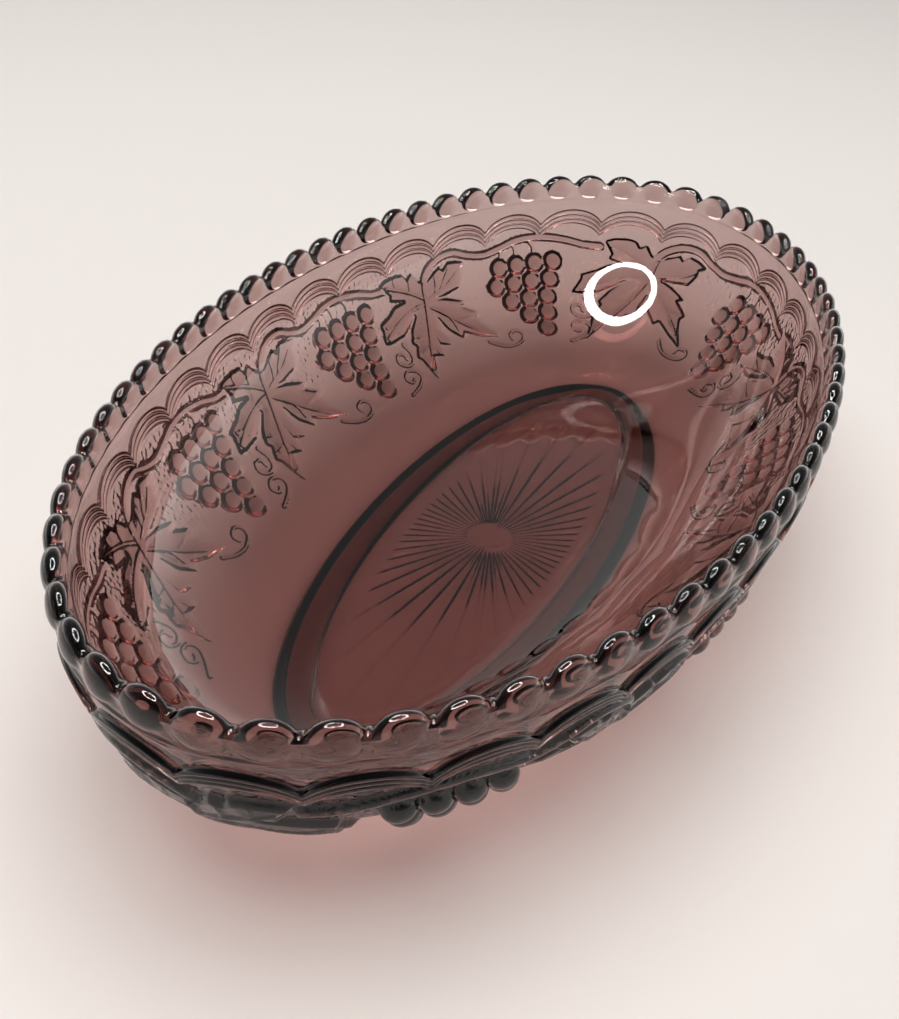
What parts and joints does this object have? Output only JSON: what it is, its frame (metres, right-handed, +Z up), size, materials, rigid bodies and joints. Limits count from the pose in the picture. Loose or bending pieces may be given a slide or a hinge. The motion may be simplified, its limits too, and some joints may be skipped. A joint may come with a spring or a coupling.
{
  "type": "oval pressed glass bowl",
  "caption": "Shallow oval bowl of translucent amethyst pressed glass with a beaded rim, scalloped arches and a raised grape and vine leaf pattern, on an oval foot ring.",
  "frame": {"origin": "centre of the foot ring's resting face, on the table", "axes": "+X along the bowl's length, +Y across it, +Z up"},
  "size_m": [0.2282, 0.1244, 0.0475],
  "materials": {
    "amethyst_glass": "clear pressed glass, fire polished"
  },
  "bodies": {
    "root": {"bowl_shell": "amethyst_glass", "foot_ring": "amethyst_glass", "ray_star": "amethyst_glass", "rim_beads": "amethyst_glass", "band_line": "amethyst_glass", "arch_band": "amethyst_glass", "vine": "amethyst_glass", "leaf_1": "amethyst_glass", "leaf_2": "amethyst_glass", "leaf_3": "amethyst_glass", "leaf_4": "amethyst_glass", "leaf_5": "amethyst_glass", "leaf_6": "amethyst_glass", "leaf_7": "amethyst_glass", "leaf_8": "amethyst_glass", "grape_cluster_1": "amethyst_glass", "grape_cluster_2": "amethyst_glass", "grape_cluster_3": "amethyst_glass", "grape_cluster_4": "amethyst_glass", "grape_cluster_5": "amethyst_glass", "grape_cluster_6": "amethyst_glass", "grape_cluster_7": "amethyst_glass", "grape_cluster_8": "amethyst_glass", "tendrils_1": "amethyst_glass", "tendrils_2": "amethyst_glass", "tendrils_3": "amethyst_glass", "tendrils_4": "amethyst_glass", "tendrils_5": "amethyst_glass", "tendrils_6": "amethyst_glass", "tendrils_7": "amethyst_glass", "tendrils_8": "amethyst_glass"}
  },
  "joints": []
}
